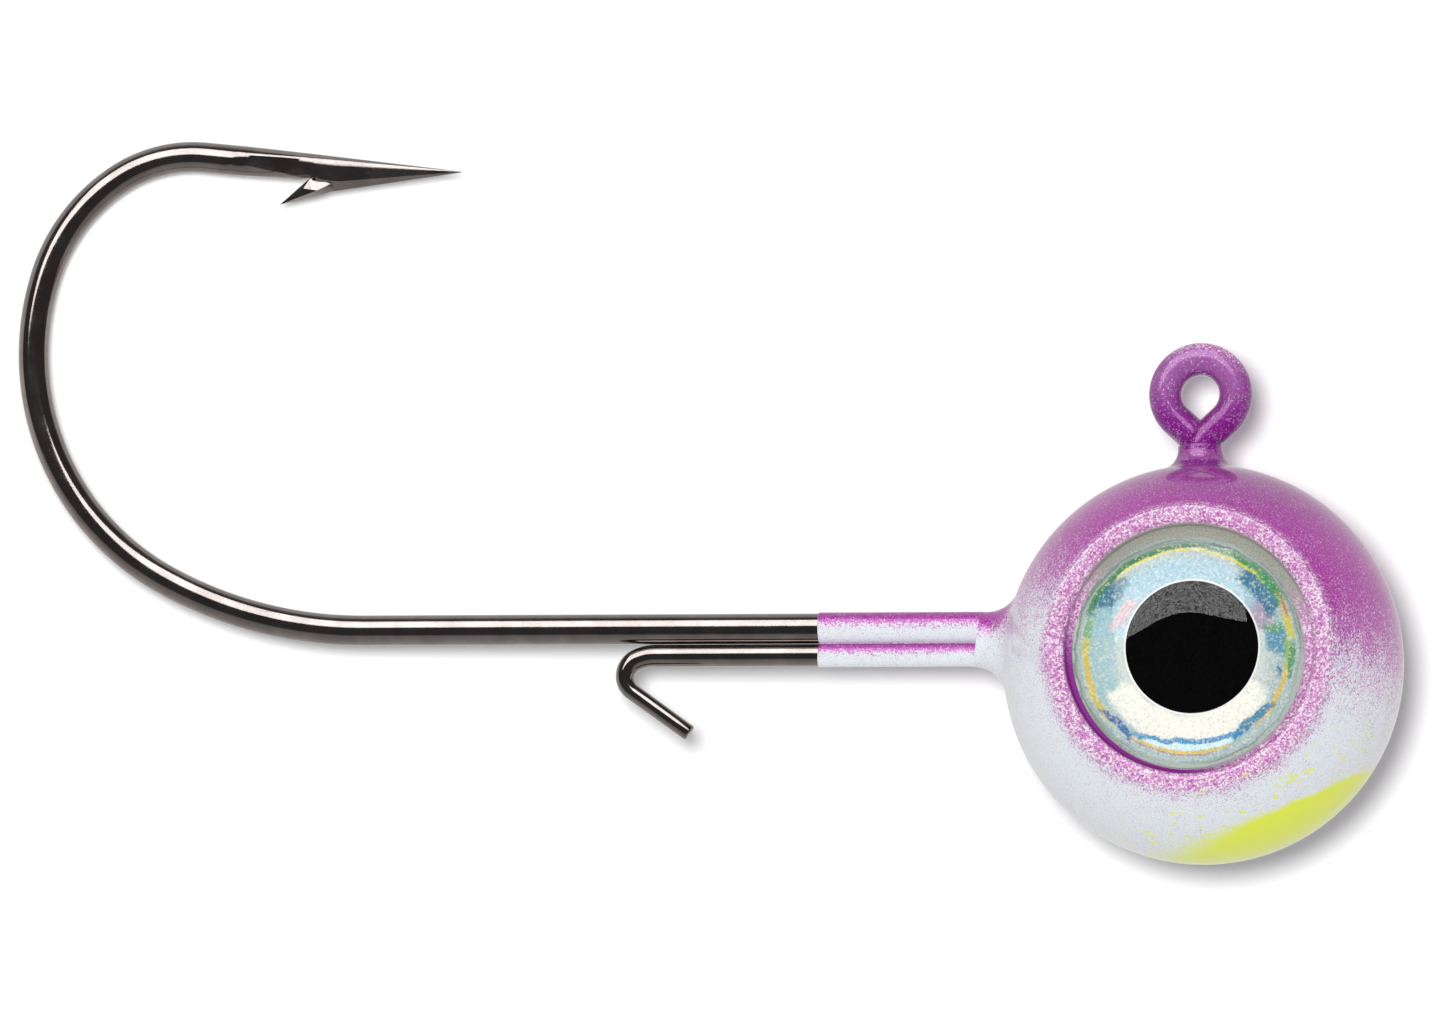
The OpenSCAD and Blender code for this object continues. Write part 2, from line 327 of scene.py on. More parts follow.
def drawn_down(radii, last, line):
    """The radii of a wire carried on to the end of its line, narrowing evenly to the last."""
    added = len(line.stations) - len(radii)
    return radii + list(np.linspace(radii[-1], last, added + 1)[1:])


def keeper_mesh():
    """The bait keeper from its tail in the lead to the tip of its barb leg."""
    bend_r, bend_angle = KEEPER_TAIL_TURN
    start = -(CORNER_R + bend_r)
    tail = Line(start, KEEPER_Z, 0).turn(bend_r, -bend_angle, 6).run(KEEPER_TAIL, 2)
    back = Line(start, KEEPER_Z, 180).run(-KEEPER_X + start, 8)
    radii = [KEEPER_R] * len(back.stations)
    for radius, angle, drawn in KEEPER_TURNS:
        radii = drawn_down(radii, drawn, back.turn(radius, angle, 4))
    radii = drawn_down(radii, KEEPER_TIP_R, back.run(KEEPER_LEG, 4))
    stations = tail.backwards() + back.stations[1:]
    radii = [KEEPER_R] * len(tail.stations) + radii[1:]
    rings = rounded_end(stations[0], KEEPER_R, 0.05, KEEPER_SIDES, -1)
    rings += [round_ring(s, r, KEEPER_SIDES) for s, r in zip(stations[1:-1], radii[1:-1])]
    rings += rounded_end(stations[-1], radii[-1], 0.06, KEEPER_SIDES, 1)
    return loft(rings)


# ---- The forged point, measured along the arm (s) and down from its centreline (t)

POINT_LENGTH = 7.25
TIP_T = -0.29
TIP_HALF = 0.022  # half the blade's thickness at its tip
FLAT_FROM = 0.8  # the forged cheek starts here
FLAT_FULL = 3.04  # from here on the section is all facets
NOTCH_S, NOTCH_T = (3.1, 0.23)  # the root of the cut that raises the barb
BELLY_S, BELLY_T = (3.65, 0.63)  # the deepest place of the blade
BARB_TIP = (2.26, 1.12)
CHAMFER_END = 0.12  # share of a crown's curve where its first small facet ends
BEVEL_END = 0.4  # and where its bevel meets the narrow flat in the middle

HALF_LINE = [(FLAT_FROM, WIRE_R), (POINT_LENGTH, TIP_HALF)]
TOP_LINE = [(FLAT_FROM, -WIRE_R), (FLAT_FULL, -0.385), (POINT_LENGTH, TIP_T)]
RIDGE_LINE = [(0.6, -0.12), (POINT_LENGTH, TIP_T + 0.008)]
BEVEL_LINE = [(FLAT_FROM, WIRE_R), (2.2, 0.29), (NOTCH_S, 0.2), (3.4, 0.43),
              (POINT_LENGTH, TIP_T + 0.015)]
BOTTOM_LINE = [(FLAT_FROM, WIRE_R), (NOTCH_S - 0.35, 0.36), (NOTCH_S, 0.27),
               (NOTCH_S + 0.12, 0.62), (BELLY_S, BELLY_T), (POINT_LENGTH, TIP_T + 0.03)]
# Corners of the barb: s, t and half width
BARB = [
    (*BARB_TIP, 0.01),
    (NOTCH_S - 0.04, NOTCH_T + 0.06, 0.15),
    (NOTCH_S + 0.55, NOTCH_T + 0.2, 0.235),
    (NOTCH_S + 0.2, NOTCH_T + 0.43, 0.3),
    (NOTCH_S - 0.2, NOTCH_T + 0.4, 0.22),
    (NOTCH_S + 0.25, NOTCH_T + 0.54, 0.03),
    (BELLY_S + 0.1, BELLY_T - 0.05, 0.04),
]
BURR_R = 0.075
BURR_HALF = 0.3


def arm_frame(station):
    """A function that gives the place at s along the arm, t under it and y to the side."""
    x, z, heading = station
    turn = math.radians(heading)
    along = Vector((math.cos(turn), 0, math.sin(turn)))
    down = Vector((math.sin(turn), 0, -math.cos(turn)))
    origin = Vector((x, 0, z))

    def place(s, t, y):
        return tuple(origin + along * s + down * t + Vector((0, y, 0)))

    return place


def point_section(s):
    """Half thickness, top, ridge, bevel and bottom of the blade at s."""
    half = between(s, HALF_LINE)
    chord = math.sqrt(max(WIRE_R ** 2 - half ** 2, 0))
    ridge = max(-chord, between(s, RIDGE_LINE))
    bevel = min(chord, between(s, BEVEL_LINE))
    return half, between(s, TOP_LINE), ridge, max(bevel, ridge + 0.001), between(s, BOTTOM_LINE)


def cap_curve(half, edge, crown, narrow, facets, steps, chamfer=(0.0, 0.0)):
    """The curve from one cheek over the crown to the other: an arc of the wire that turns
    into two bevels and a narrow flat as facets goes from 0 to 1. chamfer is how far in and
    how far up a first small facet goes, between the cheek and the bevel."""
    side = math.copysign(1, crown)
    start = math.atan2(abs(edge) if side * edge > 0 else 0.0, half)
    ends = (0, CHAMFER_END if chamfer[1] else 0, BEVEL_END, 0.5)
    facet_ys = list(zip(ends, (half, half - chamfer[0], narrow, 0)))
    facet_ts = list(zip(ends, (edge, edge + side * chamfer[1], crown, crown)))
    curve = []
    for k in range(steps + 1):
        u = k / steps
        a = start + (math.pi - 2 * start) * u
        round_y = WIRE_R * math.cos(a)
        round_t = side * min(WIRE_R * math.sin(a), side * crown)
        near = min(u, 1 - u)
        facet_y = between(near, facet_ys) * (-1 if u > 0.5 else 1)
        facet_t = between(near, facet_ts)
        y = round_y + (facet_y - round_y) * facets
        curve.append((y, round_t + (facet_t - round_t) * facets))
    return curve


def point_rings(place):
    """Rings of the forged point from the end of the bend to the tip, WIRE_SIDES points each."""
    steps = WIRE_SIDES // 2 - 3
    stations = [*np.linspace(FLAT_FROM + 0.02, FLAT_FULL, 16), NOTCH_S, NOTCH_S + 0.06]
    stations += [NOTCH_S + 0.12, 3.35, 3.5, BELLY_S, *np.linspace(3.9, POINT_LENGTH, 14)]
    rings = []
    for s in stations:
        half, top, ridge, bevel, bottom = point_section(s)
        facets = between(s, [(FLAT_FROM, 0), (FLAT_FULL, 1)]) ** 1.5
        rise = min(0.07, (ridge - top) * 0.4)
        crown = cap_curve(half, ridge, top, half * 0.3, facets, steps, (rise * 0.3, rise))
        keel = cap_curve(half, bevel, bottom, half * 0.12, facets, steps)
        outline = crown + [(-half, ridge + (bevel - ridge) * u) for u in (0.33, 0.67)]
        outline += keel[::-1] + [(half, bevel + (ridge - bevel) * u) for u in (0.33, 0.67)]
        rings.append([place(s, t, y) for y, t in outline])
    return rings


def hull_part(points):
    """Points and faces of the convex solid round some points."""
    work = bmesh.new()
    verts = [work.verts.new(p) for p in points]
    made = bmesh.ops.convex_hull(work, input=verts)
    loose = [v for v in made["geom_interior"] if isinstance(v, bmesh.types.BMVert)]
    bmesh.ops.delete(work, geom=loose, context="VERTS")
    work.verts.index_update()
    part = [tuple(v.co) for v in work.verts], [tuple(v.index for v in f.verts) for f in work.faces]
    work.free()
    return part


def barb_parts(place):
    """The barb, cut up from the blade's belly, and the burr left at the root of the cut."""
    barb = [place(s, t, side * half) for side in (-1, 1) for s, t, half in BARB]
    burr_middle = (NOTCH_S + 0.01, NOTCH_T - 0.02)
    round_burr = arc(burr_middle, BURR_R, -60, 240, 6)
    burr = [place(s, t, y) for s, t in round_burr for y in (-BURR_HALF, BURR_HALF)]
    return [hull_part(barb), hull_part(burr)]


def match_rings(last, rings):
    """Shifts and turns the rings so that their points follow on from the last one's."""
    count = len(last)
    orders = [
        [(shift + flip * k) % count for k in range(count)] for flip in (1, -1) for shift in range(count)
    ]

    def gap(order):
        return sum((Vector(a) - Vector(rings[0][k])).length for a, k in zip(last, order))

    best = min(orders, key=gap)
    return [[ring[k] for k in best] for ring in rings]


def hook_mesh():
    """The whole hook: loose end, line eye, riser, corner, shank, bend and forged point."""
    shank = shank_line()
    place = arm_frame(shank.stations[-1])
    shank.run(0.6, 2)
    stations = riser_line().backwards() + shank.stations[1:]
    rings = rounded_end(stations[0], WIRE_R, 0.08, WIRE_SIDES, -1)
    rings += [round_ring(s, WIRE_R, WIRE_SIDES) for s in stations[1:]]
    rings += match_rings(rings[-1], point_rings(place))
    return join_parts([loft(rings), *barb_parts(place)])


# ---- Painted head

ROUND = 256  # steps round the ball
BAND = 64  # steps across the ball between the two flats
BAND_HALF = math.pi / 2 - math.acos(CHEEK / BALL_R) - 0.012  # the band's half width, as an angle
GRID_START = math.radians(90 + NUB_LEAN)
NECK_I = round((90 - NUB_LEAN - NECK_RISE) / 360 * ROUND)
# The gaps left for the stems: the step round the ball in their middle, and half their size
NUB_GAP = (0, 10)
NECK_GAP = (NECK_I, 15)
CREASE_R = 0.12  # the paint rounds the edge of the flat
LIP_R = 0.2  # and the edge of the recess
FLOOR_R = 0.05  # and the corner at its floor
CROWN_EDGE = 0.04  # and the top of a stem


def cheek_profile(less):
    """From the middle of a recess out to the edge of the ball: (radius, depth) pairs."""
    ball = BALL_R - less
    cheek = CHEEK - less
    floor = cheek - RECESS_DEPTH
    recess = RECESS_R + less
    rim = math.sqrt(ball ** 2 - cheek ** 2)
    slope = math.asin(rim / ball)
    flat_end = rim - CREASE_R * math.tan(slope / 2)
    profile = [(recess * share, floor) for share in (0.0005, 0.3, 0.6, 0.8, 0.92)]
    profile += arc((recess - FLOOR_R, floor + FLOOR_R), FLOOR_R, 270, 360, 4)
    profile += arc((recess + LIP_R, cheek - LIP_R), LIP_R, 180, 90, 6)
    profile += [(flat_end - 0.25, cheek), (flat_end - 0.1, cheek)]
    profile += arc((flat_end, cheek - CREASE_R), CREASE_R, 90, 90 - math.degrees(slope), 6)
    return profile


def ball_direction(i, j):
    """Unit direction of a grid point of the band: i round the ball, j across it."""
    turn = 2 * math.pi * i / ROUND + GRID_START
    across = BAND_HALF * (2 * j / BAND - 1)
    level = math.cos(across)
    return Vector((level * math.cos(turn), math.sin(across), level * math.sin(turn)))


def in_gap(i, j, edge):
    """True if a point (edge 1) or a cell (edge 0) of the grid lies in a gap left for a stem."""
    for at, half in (NUB_GAP, NECK_GAP):
        away = (i - at + ROUND // 2) % ROUND - ROUND // 2
        if edge - half <= away < half and edge - half <= j - BAND // 2 < half:
            return True
    return False


def gap_edge(grid, gap):
    """Numbers of the grid's points along the edge of a gap, in order."""
    at, half = gap
    edge = [(k, -half) for k in range(-half, half)]
    edge += [(half, k) for k in range(-half, half)]
    edge += [(-k, half) for k in range(-half, half)]
    edge += [(-half, -k) for k in range(-half, half)]
    return [grid[(at + a) % ROUND, BAND // 2 + b] for a, b in edge]


def wire_outline_radius(angle, grow, middle):
    """Distance from the seam between the two wires to their outline, grown by the paint."""
    best = 0
    for centre, radius in ((SHANK_Z, WIRE_R + grow), (KEEPER_Z, KEEPER_R + grow)):
        height = centre - middle
        along = height * math.sin(angle)
        inside = radius ** 2 - height ** 2 + along ** 2
        if inside > 0:
            best = max(best, along + math.sqrt(inside))
    return max(best, SEAM_HALF + grow)


def nub_hole(out, crown):
    """Edge of the paint round the riser."""
    return crown + out * (WIRE_R + 0.01)


def neck_hole(out, crown):
    """Edge of the paint round the two wires."""
    middle = SHANK_Z - WIRE_R
    level = math.atan2(out.z, out.y)
    radius = wire_outline_radius(level, 0.005, middle)
    return Vector((crown.x - 0.02, radius * math.cos(level), middle + radius * math.sin(level)))


def stem_profile(stem, fillet, ball, top):
    """(radius, height) pairs from a stem's foot on the ball, round the fillet, to its top."""
    middle = stem + fillet
    reach = math.sqrt((ball + fillet) ** 2 - middle ** 2)
    lean = math.degrees(math.atan2(reach, middle))
    profile = arc((middle, reach), fillet, 180 + lean, 180, 12)
    if top > reach:
        profile.append((stem, top - CROWN_EDGE))
    return profile + [(stem - CROWN_EDGE, max(top, reach))]


def stem_patch(points, faces, edge, direction, profile, ball, hole):
    """Fills the gap in the ball's grid round a stem: rings from the gap's square edge to the
    stem's foot, up its profile to its crown and in to the hole that the wire fills.
    hole(out, crown) is the point of that hole's edge in the direction out from the middle
    of the stem's crown. Returns the numbers of the last ring's points."""
    side = Vector((0, 1, 0))
    across = direction.cross(side)
    outs, leans = [], []
    for k in edge:
        offset = (Vector(points[k]) - BALL_MIDDLE).normalized()
        turn = math.atan2(offset.dot(side), offset.dot(across))
        outs.append(across * math.cos(turn) + side * math.sin(turn))
        leans.append(offset.angle(direction))
    foot = math.atan2(*profile[0])
    rings = []
    for share in (0.25, 0.5, 0.75):
        now = [lean + (foot - lean) * share for lean in leans]
        ring = [direction * math.cos(a) + out * math.sin(a) for a, out in zip(now, outs)]
        rings.append([BALL_MIDDLE + p * ball for p in ring])
    for radius, height in profile:
        rings.append([BALL_MIDDLE + direction * height + out * radius for out in outs])
    crown = BALL_MIDDLE + direction * profile[-1][1]
    rings.append([hole(out, crown) for out in outs])
    for ring in rings:
        numbers = add_ring(points, ring)
        faces += bridge(edge, numbers)
        edge = numbers
    return edge


def head_surface(less):
    """Points and faces of the head's skin, less millimetres under the paint's surface. The
    last part of the result is the rings at the nub's and the neck's openings."""
    points, faces, grid = [], [], {}
    ball = BALL_R - less
    for i in range(ROUND):
        for j in range(BAND + 1):
            if not in_gap(i, j, 1):
                grid[i, j] = len(points)
                points.append(tuple(BALL_MIDDLE + ball_direction(i, j) * ball))
    for i in range(ROUND):
        after = (i + 1) % ROUND
        for j in range(BAND):
            if not in_gap(i, j, 0):
                cell = [(i, j), (after, j), (after, j + 1), (i, j + 1)]
                faces.append(tuple(grid[c] for c in cell))
    for side, j in ((-1, 0), (1, BAND)):
        edge = [grid[i, j] for i in range(ROUND)]
        for radius, depth in reversed(cheek_profile(less)):
            ring = circle((BALL_X, BALL_Z), radius, side * depth, ROUND, GRID_START)
            numbers = add_ring(points, ring)
            faces += bridge(edge, numbers)
            edge = numbers
        faces.append(tuple(edge))
    nub = stem_profile(NUB_R - less, NUB_FILLET + less, ball, NUB_REACH - less)
    neck = stem_profile(NECK_R - less, NECK_FILLET + less, ball, 0)
    openings = [
        stem_patch(points, faces, gap_edge(grid, NUB_GAP), NUB_DIRECTION, nub, ball, nub_hole),
        stem_patch(points, faces, gap_edge(grid, NECK_GAP), NECK_DIRECTION, neck, ball, neck_hole),
    ]
    return points, faces, openings


def head_mesh():
    """The paint on the head: a closed skin between the outside and the lead."""
    points, faces, openings = head_surface(0)
    inner_points, inner_faces, inner_openings = head_surface(COAT)
    start = len(points)
    faces += [tuple(k + start for k in reversed(face)) for face in inner_faces]
    for outer, inner in zip(openings, inner_openings):
        faces += bridge(outer, [k + start for k in inner])
    return points + inner_points, faces


# ---- Paint on the wires

COLLAR_SIDES = 96
COLLAR_INSIDE = 0.002  # the paint's gap to the wire, so that the two don't touch


def collar_mesh():
    """The paint on the shank and the keeper behind the head: an outline round both wires."""
    middle = SHANK_Z - WIRE_R - WIRE_GAP / 2
    front = COLLAR_HIGH.x
    rear = COLLAR_LOW.x

    def ring(x, grow):
        points = []
        for k in range(COLLAR_SIDES):
            a = 2 * math.pi * k / COLLAR_SIDES
            radius = wire_outline_radius(a, grow, middle)
            wave = 0.014 * math.cos(2 * a) if x <= rear + 0.1 else 0
            points.append((max(x + wave, rear), radius * math.cos(a), middle + radius * math.sin(a)))
        return points

    skin = [(rear + 0.012, 0.012), (rear + 0.03, 0.026), (rear + 0.07, WIRE_COAT)]
    skin += [(rear + (front - rear) * k / 10, WIRE_COAT) for k in range(1, 11)]
    skin += [(front, COLLAR_INSIDE), (rear + 0.012, COLLAR_INSIDE)]
    points, faces = loft([ring(x, grow) for x, grow in skin], False, False)
    last = range(len(points) - COLLAR_SIDES, len(points))
    return points, faces + bridge(last, range(COLLAR_SIDES))


def line_eye_mesh():
    """The paint on the riser and the line eye, as one skin that closes at the loose end."""
    riser_top = -NUB_TOP
    stations = [s for s in riser_line().stations if s[1] > riser_top + 0.01]
    stations.insert(0, (stations[0][0], riser_top, 90))
    outer = [round_ring(s, WIRE_R + RING_COAT, WIRE_SIDES) for s in stations[:-1]]
    outer += rounded_end(stations[-1], WIRE_R + RING_COAT, 0.14, WIRE_SIDES, 1)
    points, faces = loft(outer)
    cleared = []
    for x, y, z in points:
        away = math.hypot(x, z)
        if 1e-6 < away < THROAT_R:
            x, z = x * THROAT_R / away, z * THROAT_R / away
        cleared.append((x, y, max(z, riser_top)))
    return cleared, faces


# ---- Eyes

EYE_STEPS = 128
WET = 0.006  # how far the foil and pupil reach up into the clear dome
DOME_ROLL = 0.09  # radius of the dome's rolled edge


def disc_mesh(side, radius, back, front, centre=EYE_MIDDLE):
    """A thin disc with a softened edge, made of rings so that its shading is even."""
    edge = min(0.02, (front - back) / 3)
    profile = [(0.0005, back), (radius * 0.5, back), (radius - edge, back), (radius, back + edge),
               (radius, front - edge), (radius - edge, front)]
    profile += [(radius * share, front) for share in (0.9, 0.7, 0.5, 0.25, 0.0001)]
    return spin(profile, EYE_STEPS, centre, side)


def dome_mesh(side):
    """The clear dome: a flat back, a short upright rim with a rolled edge, a crown that
    curves in from it and a small flat in the middle."""
    rise = DOME_TOP - FOIL_FRONT - DOME_RIM
    slope_w = EYE_R - DOME_FLAT_R
    crown_r = (slope_w ** 2 + rise ** 2) / (2 * rise)
    crown_at = DOME_TOP - crown_r
    back = FOIL_FRONT - WET
    profile = [(0.0005, back), (EYE_R * 0.5, back), (EYE_R - 0.02, back)]
    profile += [(EYE_R, FOIL_FRONT + 0.02), (EYE_R, FOIL_FRONT + DOME_RIM * 0.5)]
    out = slope_w - DOME_ROLL
    height = math.sqrt((crown_r - DOME_ROLL) ** 2 - out ** 2)
    lean = math.degrees(math.atan2(height, out))
    profile += arc((EYE_R - DOME_ROLL, crown_at + height), DOME_ROLL, 0, lean, 8)
    profile += arc((DOME_FLAT_R, crown_at), crown_r, lean, 90, 36)[1:]
    profile += [(DOME_FLAT_R * share, DOME_TOP) for share in (0.7, 0.4, 0.2, 0.001)]
    return spin(profile, EYE_STEPS, EYE_MIDDLE, side)


# ---- Materials

MIX_A, MIX_B, MIX_RESULT = 6, 7, 2  # a Mix node's sockets for colours


def srgb(code):
    """A colour written as rrggbb, in the linear values that the nodes use."""
    values = [int(code[k:k + 2], 16) / 255 for k in (0, 2, 4)]
    return tuple(v / 12.92 if v <= 0.04045 else ((v + 0.055) / 1.055) ** 2.4 for v in values)


class Nodes:
    """A node tree, built with one short call for each node."""

    def __init__(self, tree):
        self.tree = tree
        tree.nodes.clear()

    def put(self, socket, value):
        """Links or sets a socket. A colour is a code for srgb() or its linear values."""
        if isinstance(value, bpy.types.NodeSocket):
            self.tree.links.new(value, socket)
        elif socket.type == "RGBA":
            socket.default_value = (*(srgb(value) if isinstance(value, str) else value), 1)
        else:
            socket.default_value = value

    def node(self, kind, *values, **named):
        """A new node. Values fill its sockets in order. A named value is for the socket of
        that name if it has a capital, and a setting of the node if it has none."""
        made = self.tree.nodes.new("ShaderNode" + kind)
        for name, value in named.items():
            if name[0].isupper():
                self.put(made.inputs[name], value)
            else:
                setattr(made, name, value)
        for socket, value in zip(made.inputs, values):
            self.put(socket, value)
        return made

    def math(self, kind, *values):
        return self.node("Math", *values, operation=kind).outputs[0]

    def add(self, a, b):
        return self.math("ADD", a, b)

    def minus(self, a, b):
        return self.math("SUBTRACT", a, b)

    def larger(self, a, b):
        return self.math("MAXIMUM", a, b)

    def size(self, a):
        return self.math("ABSOLUTE", a)

    def times(self, first, *others):
        for other in others:
            first = self.math("MULTIPLY", first, other)
        return first

    def vector(self, kind, *values):
        made = self.node("VectorMath", *values, operation=kind)
        return made.outputs["Value" if kind in ("DOT_PRODUCT", "LENGTH") else "Vector"]

    def split(self, vector):
        return tuple(self.node("SeparateXYZ", vector).outputs)

    def spread(self, value, low, high, bottom, top, **settings):
        """Takes the range from low to high to the one from bottom to top."""
        return self.node("MapRange", value, low, high, bottom, top, **settings).outputs[0]

    def step(self, value, low, high, bottom=0.0, top=1.0):
        """Smooth step from bottom at low to top at high; low may be the larger one."""
        return self.spread(value, low, high, bottom, top, interpolation_type="SMOOTHSTEP")

    def mix(self, share, a, b):
        """The colour that goes from a to b as share goes from 0 to 1."""
        made = self.node("Mix", share, data_type="RGBA")
        self.put(made.inputs[MIX_A], a)
        self.put(made.inputs[MIX_B], b)
        return made.outputs[MIX_RESULT]

    def blend(self, share, first, second):
        """The shader that goes from the first to the second as share goes from 0 to 1."""
        return self.node("MixShader", share, first.outputs[0], second.outputs[0])

    def show(self, shader, output="OutputMaterial"):
        self.put(self.node(output).inputs["Surface"], shader.outputs[0])


class Finish(Nodes):
    """A material. Its places and the sizes of its patterns are in millimetres."""

    def __init__(self, name):
        self.material = bpy.data.materials.new(name)
        self.material.use_nodes = True
        super().__init__(self.material.node_tree)
        where = self.node("TexCoord")
        self.normal = where.outputs["Normal"]
        where = where.outputs["Object"]
        scaled = self.node("VectorMath", where, operation="SCALE", Scale=1 / MM)
        self.place = scaled.outputs["Vector"]
        _, self.y, self.z = self.split(self.place)

    def flat_distance(self, place, unit=1):
        """Distance of a place from the axis of an eye."""
        return self.vector("LENGTH", self.vector("MULTIPLY", place, (1 / unit, 0, 1 / unit)))

    def noise(self, size, detail=2.0, place=None):
        """Noise with a grain of about size millimetres."""
        where = self.place if place is None else place
        made = self.node("TexNoise", Vector=where, Scale=1 / size, Detail=detail)
        return made.outputs["Fac"]

    def flakes(self, size):
        """A random number for each flake of about size millimetres."""
        made = self.node("TexVoronoi", Vector=self.place, Scale=1 / size)
        return self.split(made.outputs["Color"])[0]

    def bump(self, height, distance, strength=1.0):
        """A bump whose heights are in millimetres."""
        made = self.node("Bump", Height=height, Distance=distance * MM, Strength=strength)
        return made.outputs[0]

    def principled(self, **inputs):
        """The Principled shader, with names such as base_color for its sockets."""
        shader = self.node("BsdfPrincipled")
        sockets = {socket.name.lower(): socket for socket in shader.inputs}
        for name, value in inputs.items():
            self.put(sockets[name.replace("_", " ")], value)
        return shader

    def surface(self, **inputs):
        self.show(self.principled(**inputs))
        return self.material


def black_nickel():
    """Polished black nickel over drawn wire: faint draw marks and a little haze."""
    f = Finish("black_nickel")
    haze = f.noise(0.6, 4)
    fine = f.noise(0.05, 3)
    return f.surface(
        base_color=f.mix(f.step(haze, 0.35, 0.7), "8f8885", "9c9693"),
        metallic=1.0,
        roughness=f.add(f.step(fine, 0.3, 0.7, 0.0, 0.05), f.step(haze, 0.3, 0.7, 0.06, 0.1)),
        normal=f.bump(f.noise(0.12, 2), 0.0012, 0.6),
    )


def cast_lead():
    """Dull grey cast lead with a grain and darker oxide in patches."""
    f = Finish("cast_lead")
    patch = f.noise(1.5, 4)
    grain = f.noise(0.15, 3)
    color = f.mix(f.step(patch, 0.35, 0.65), "6f7276", "8b8e92")
    return f.surface(
        base_color=f.mix(f.step(grain, 0.55, 0.75, 0.0, 0.4), color, "55585c"),
        metallic=0.85,
        roughness=f.step(grain, 0.2, 0.8, 0.45, 0.65),
        normal=f.bump(grain, 0.02),
    )


SPRAY = Vector((0.196, 0, 0.981))  # the purple was sprayed from this side
CHIN = Vector((0.377, 0.159, -0.912))  # and the chartreuse from this one, on both cheeks
CHIN_EDGE = 4.44  # how far from the ball's centre the chartreuse starts
FLAT_R = math.sqrt(BALL_R ** 2 - CHEEK ** 2)
RING_FOOT = -NUB_TOP - 0.9  # the line eye's own, deeper purple starts here
RECESS_TOP = (0.1, 0, 0.995)  # where the recess's wall is unpainted, with painted grey shade under its top edge,
RECESS_LOW = (-0.66, 0, -0.75)  # and where the purple is painted darker as shade in the gap
GRAIN = 0.036
FLAKE = 0.045
SPATTER = 0.15


def near_cheek(f):
    """1 on the cheeks and 0 between them."""
    return f.step(f.size(f.y), CHEEK - 1.0, CHEEK - 0.6)


def purple_cover(f, facing, flat_r):
    """How much purple fell on each place, and how much of it is on the flat round an eye."""
    cheek = near_cheek(f)
    on_flat = f.times(f.step(flat_r, FLAT_R + 0.2, FLAT_R - 0.05), cheek)
    fade = f.step(flat_r, FLAT_R + 0.5, RECESS_R + 0.25)
    around = f.step(facing, -1.0, -0.6, 0.7, 1.0)
    on_ring = f.times(f.step(f.z, RING_FOOT, RING_FOOT + 0.35), around)
    annulus = f.times(fade, cheek, f.step(facing, -0.9, -0.3, 0.8, 1.0))
    cover = f.larger(f.step(facing, -0.38, 0.6), f.times(annulus, 0.9))
    drift = f.step(f.noise(0.6, 3), 0.3, 0.7, -0.07, 0.07)
    return f.add(f.larger(cover, on_ring), drift), on_flat


def purple_color(f, facing, flat_r, on_flat, grain, flake):
    """Candy purple over metal flake: deep on top and on the line eye, with a painted reflection of the
    nub on the ball's top, a painted sheen on the flat round the eyes, painted highlights and glints,
    and painted shade along the edge of the flat.
    """
    ring = f.step(f.z, RING_FOOT, RING_FOOT + 0.4)
    # Painted reflection: the dark nub seen in the glossy paint on the ball's top, drawn as deeper
    # purple
    painted_nub_reflection = f.times(f.step(facing, 0.93, 0.985), f.step(f.z, -3.4, -2.6))
    deep = f.larger(f.step(facing, 0.6, 0.97, 0.0, 0.55), f.larger(ring, painted_nub_reflection))
    color = f.mix(f.step(facing, -0.1, 0.5), "b45cae", "a02496")
    color = f.mix(deep, color, "7c007e")
    light = f.minus(f.minus(0.34, f.times(deep, 0.16)), f.times(ring, 0.15))
    color = f.mix(f.times(f.step(grain, 0.25, 1.0), light), color, "cc78c2")
    # Painted sheen: paler pink over the flat round each eye, broken up by the grain
    pale = f.times(on_flat, f.step(grain, 0.1, 0.9, 0.35, 0.9))
    color = f.mix(pale, color, "c895bc")

    # A pale band round the nub, the crown of the line eye and its shoulders catch the light
    band = f.times(f.step(f.z, -1.95, -1.88), f.step(f.z, -1.58, -1.64))
    band = f.times(band, f.step(f.size(f.y), 0.4, 0.5))
    color = f.mix(f.times(band, 0.4), color, "b467b0")
    crown = f.times(f.step(f.z, 0.2, 1.1), f.step(facing, 0.3, 0.8))
    color = f.mix(f.times(crown, 0.55), color, "c765b8")
    shoulder = f.times(f.step(f.size(f.y), 0.18, 0.42), f.step(f.z, -0.9, 0.5))
    color = f.mix(f.times(shoulder, 0.3), color, "c58fc6")

    # The flakes: painted glints on the pale ones, the dark ones, and a darker line of painted shade
    # along the edge of the flat
    glint = f.larger(on_flat, f.larger(crown, f.times(ring, 0.02)))
    color = f.mix(f.times(glint, f.step(flake, 0.5, 0.95, 0.0, 0.75)), color, "f8ecf4")
    dark = f.times(on_flat, f.step(flake, 0.2, 0.1, 0.0, 0.7))
    color = f.mix(dark, color, "a03a94")
    # Painted shade: a darker purple line in the crease at the edge of the flat
    edge = f.step(f.size(f.minus(flat_r, FLAT_R)), 0.06, 0.0)
    edge = f.times(edge, f.step(facing, 0.05, 0.4))
    return f.mix(f.times(edge, 0.5), color, "8c2d8c")


